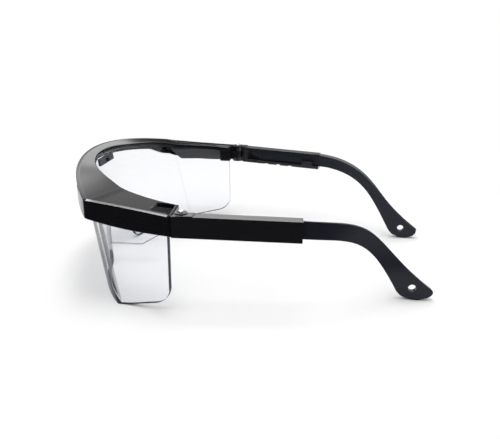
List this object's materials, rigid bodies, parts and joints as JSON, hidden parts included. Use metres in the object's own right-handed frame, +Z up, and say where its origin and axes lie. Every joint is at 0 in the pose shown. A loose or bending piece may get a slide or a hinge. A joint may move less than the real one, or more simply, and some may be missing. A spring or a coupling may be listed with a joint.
{
  "type": "safety goggles",
  "caption": "Wrap-round eye protectors with a clear shielded lens, a black brow frame and folding temples that slide to adjust their length.",
  "frame": {"origin": "centre of the footprint, on the surface the goggles stand on", "axes": "+Y from the lens towards the ear tips, +X towards the wearer's left, +Z up"},
  "size_m": [0.1446, 0.1686, 0.0545],
  "materials": {
    "frame_black": "glossy moulded black",
    "temple_black": "glossy moulded black",
    "arm_black": "semi-gloss moulded black",
    "lens_clear": "clear polished polycarbonate",
    "clip_grey": "satin dark grey",
    "screw_steel": "bright steel",
    "insert_brass": "turned brass"
  },
  "bodies": {
    "front": {"brow_frame": "frame_black", "lens": "lens_clear", "nose_bridge": "lens_clear", "lens_clip": "clip_grey", "lens_clip_pin": "frame_black"},
    "temple_left": {"temple_sleeve_left": "temple_black", "hinge_screw_left": "screw_steel", "hinge_insert_left": "insert_brass"},
    "temple_right": {"temple_sleeve_right": "temple_black", "hinge_screw_right": "screw_steel", "hinge_insert_right": "insert_brass"},
    "arm_left": {"temple_arm_left": "arm_black"},
    "arm_right": {"temple_arm_right": "arm_black"}
  },
  "joints": [
    {"name": "temple_left_fold", "type": "hinge", "parent": "front", "child": "temple_left", "pos_m": [0.0675, -0.02105, 0.039], "axis": [0, 0, 1], "range_deg": [0, 84]},
    {"name": "temple_right_fold", "type": "hinge", "parent": "front", "child": "temple_right", "pos_m": [-0.0675, -0.02105, 0.039], "axis": [0, 0, -1], "range_deg": [0, 72]},
    {"name": "arm_left_slide", "type": "slide", "parent": "temple_left", "child": "arm_left", "axis": [-0.1287, 0.9909, -0.0384], "range_m": [0, 0.0142]},
    {"name": "arm_right_slide", "type": "slide", "parent": "temple_right", "child": "arm_right", "axis": [0.1287, 0.9909, -0.0384], "range_m": [0, 0.0142]}
  ]
}
